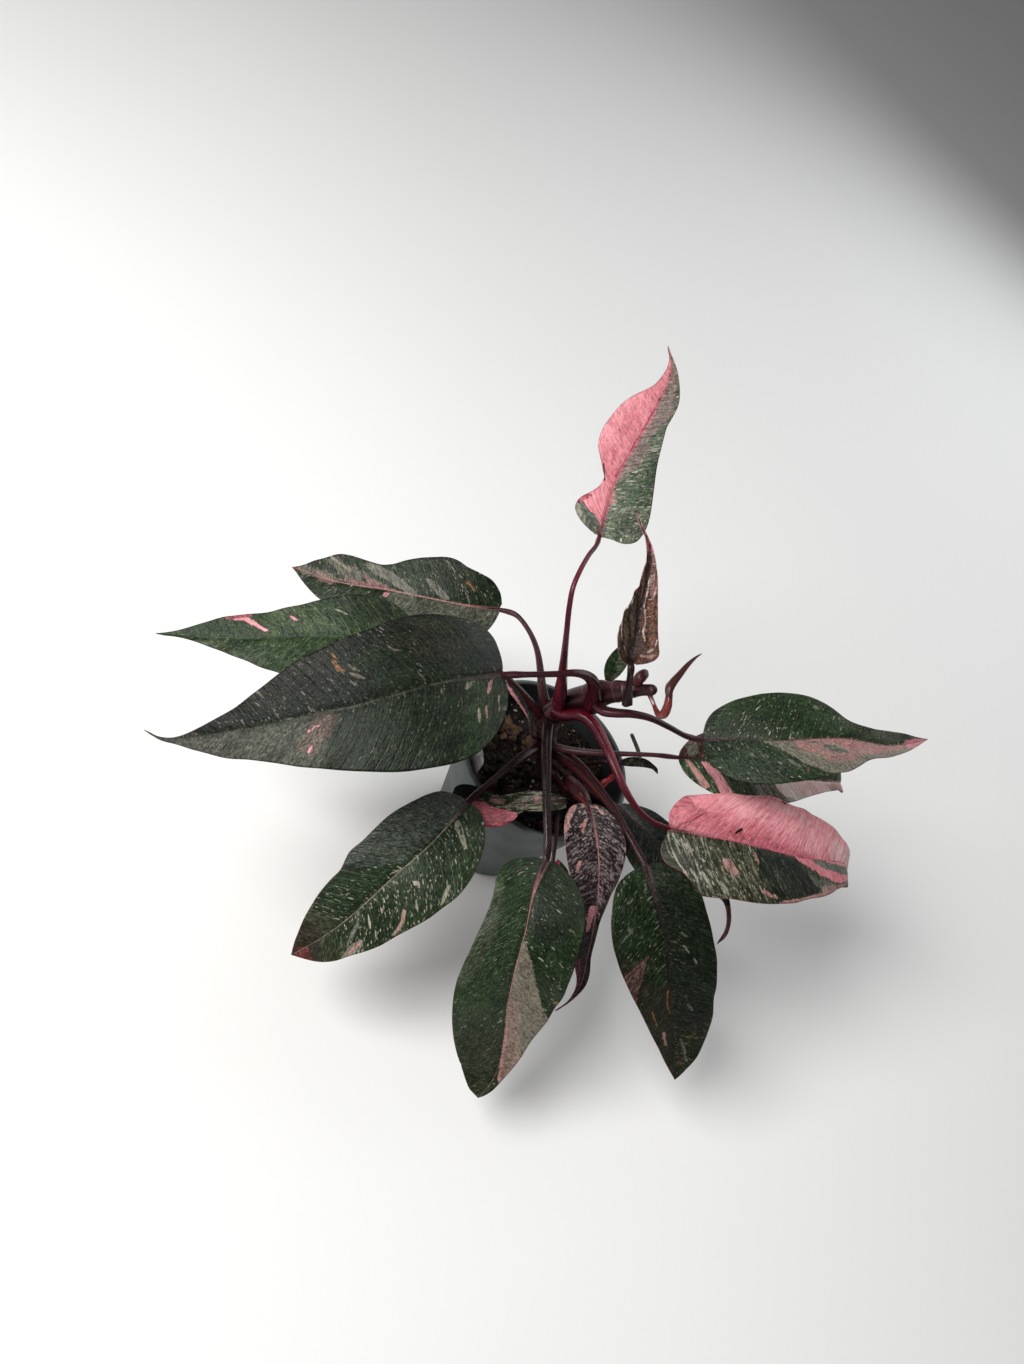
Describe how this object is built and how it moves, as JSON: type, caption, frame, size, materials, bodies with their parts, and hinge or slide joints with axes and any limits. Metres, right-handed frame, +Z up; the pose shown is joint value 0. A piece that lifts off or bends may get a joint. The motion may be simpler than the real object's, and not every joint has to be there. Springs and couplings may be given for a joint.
{
  "type": "potted variegated philodendron",
  "caption": "Young vining aroid with long pointed variegated leaves on slim leaf stalks, growing from a plain round nursery pot of bark mix.",
  "frame": {"origin": "centre of the pot's flat underside", "axes": "+Z up along the pot's axis; the side shown in the reference view faces -Y, with +X to its right"},
  "size_m": [0.4033, 0.3271, 0.3214],
  "materials": {
    "pot_plastic": "matte",
    "label_plastic": "satin",
    "potting_mix": "matte",
    "stem_bark": "satin",
    "leaf_pink": "satin",
    "leaf_mixed": "satin",
    "leaf_green": "satin",
    "leaf_dark": "satin",
    "leaf_bronze": "satin",
    "stalk_crimson": "satin",
    "stalk_dark": "satin",
    "sheath_red": "satin"
  },
  "bodies": {
    "root": {"dry_stub": "stalk_dark", "leaf_01_blade": "leaf_pink", "leaf_01_stalk": "stalk_crimson", "leaf_02_blade": "leaf_bronze", "leaf_02_stalk": "stalk_dark", "leaf_03_blade": "leaf_dark", "leaf_03_stalk": "stalk_dark", "leaf_04_blade": "leaf_mixed", "leaf_04_stalk": "stalk_dark", "leaf_05_blade": "leaf_pink", "leaf_05_stalk": "stalk_crimson", "leaf_06_blade": "leaf_green", "leaf_06_stalk": "stalk_dark", "leaf_07_blade": "leaf_green", "leaf_07_stalk": "stalk_dark", "leaf_08_blade": "leaf_dark", "leaf_08_stalk": "stalk_dark", "leaf_09_blade": "leaf_green", "leaf_09_stalk": "stalk_dark", "leaf_10_blade": "leaf_green", "leaf_10_stalk": "stalk_crimson", "leaf_11_blade": "leaf_dark", "leaf_11_stalk": "stalk_crimson", "leaf_12_blade": "leaf_green", "leaf_12_stalk": "stalk_crimson", "leaf_13_blade": "leaf_green", "leaf_13_stalk": "stalk_dark", "leaf_14_blade": "leaf_mixed", "leaf_14_stalk": "stalk_dark", "leaf_15_blade": "leaf_dark", "leaf_15_stalk": "stalk_dark", "leaf_16_blade": "leaf_green", "leaf_16_stalk": "stalk_dark", "leaf_17_blade": "leaf_pink", "leaf_17_stalk": "stalk_dark", "leaf_18_blade": "leaf_pink", "leaf_18_stalk": "stalk_dark", "main_stem": "stem_bark", "new_leaf_sheath": "sheath_red", "new_leaf_spike": "sheath_red", "nursery_pot": "pot_plastic", "plant_label": "label_plastic", "potting_mix": "potting_mix", "stem_bud": "sheath_red"}
  },
  "joints": []
}
